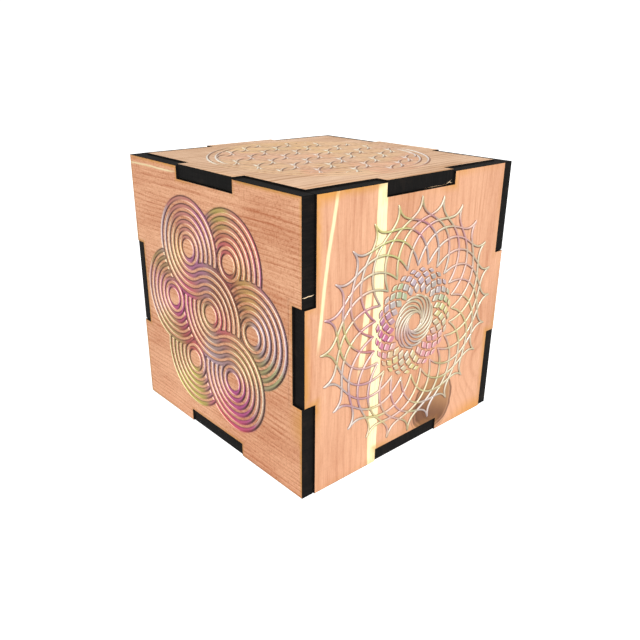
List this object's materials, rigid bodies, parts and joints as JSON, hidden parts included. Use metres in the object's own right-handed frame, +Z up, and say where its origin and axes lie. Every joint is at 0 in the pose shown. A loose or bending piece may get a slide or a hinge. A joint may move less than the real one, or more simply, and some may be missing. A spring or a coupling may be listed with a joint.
{
  "type": "wooden puzzle box",
  "caption": "Laser-cut cedar puzzle box with finger-jointed walls, geometric face ornaments and a lift-off lid held by hidden sliding pins.",
  "frame": {"origin": "centre of the box's footprint, on the surface it stands on", "axes": "+Z up through the lid; -Y is the face with the raised rosette, -X the face with the ring pattern"},
  "size_m": [0.1348, 0.1348, 0.134],
  "materials": {
    "cedar_wall": "satin, sanded aromatic cedar",
    "cedar_lid": "satin, sanded aromatic cedar",
    "cedar_base": "satin, sanded aromatic cedar",
    "cedar_lock": "matt, unsanded cedar with charred cut edges",
    "steel_pin": "ground steel dowel pin",
    "charred_edge": "matt black, laser charred",
    "pearl_paint": "pearlescent colour-shift paint"
  },
  "bodies": {
    "case": {"front_panel": "cedar_wall", "back_panel": "cedar_wall", "left_panel": "cedar_wall", "right_panel": "cedar_wall", "base_panel": "cedar_base", "pocket_cap_front": "cedar_lock", "pocket_channel_front": "cedar_lock", "pocket_cover_front": "cedar_lock", "pocket_cap_right": "cedar_lock", "pocket_channel_right": "cedar_lock", "pocket_cover_right": "cedar_lock", "pocket_cap_back": "cedar_lock", "pocket_channel_back": "cedar_lock", "pocket_cover_back": "cedar_lock", "pocket_cap_left": "cedar_lock", "pocket_channel_left": "cedar_lock", "pocket_cover_left": "cedar_lock"},
    "lid": {"lid_panel": "cedar_lid", "plug_top_plate": "cedar_lock", "plug_channel_plate": "cedar_lock", "plug_bottom_plate": "cedar_lock"},
    "lock_pin_front": {"lock_pin_front": "steel_pin"},
    "lock_pin_right": {"lock_pin_right": "steel_pin"},
    "lock_pin_back": {"lock_pin_back": "steel_pin"},
    "lock_pin_left": {"lock_pin_left": "steel_pin"}
  },
  "joints": [
    {"name": "lid_lift", "type": "slide", "parent": "case", "child": "lid", "axis": [0, 0, 1], "range_m": [0, 0.12]},
    {"name": "lock_pin_front_slide", "type": "slide", "parent": "case", "child": "lock_pin_front", "axis": [0, 1, 0], "range_m": [0, 0.008]},
    {"name": "lock_pin_right_slide", "type": "slide", "parent": "case", "child": "lock_pin_right", "axis": [-1, 0, 0], "range_m": [0, 0.008]},
    {"name": "lock_pin_back_slide", "type": "slide", "parent": "case", "child": "lock_pin_back", "axis": [0, -1, 0], "range_m": [0, 0.008]},
    {"name": "lock_pin_left_slide", "type": "slide", "parent": "case", "child": "lock_pin_left", "axis": [1, 0, 0], "range_m": [0, 0.008]}
  ]
}
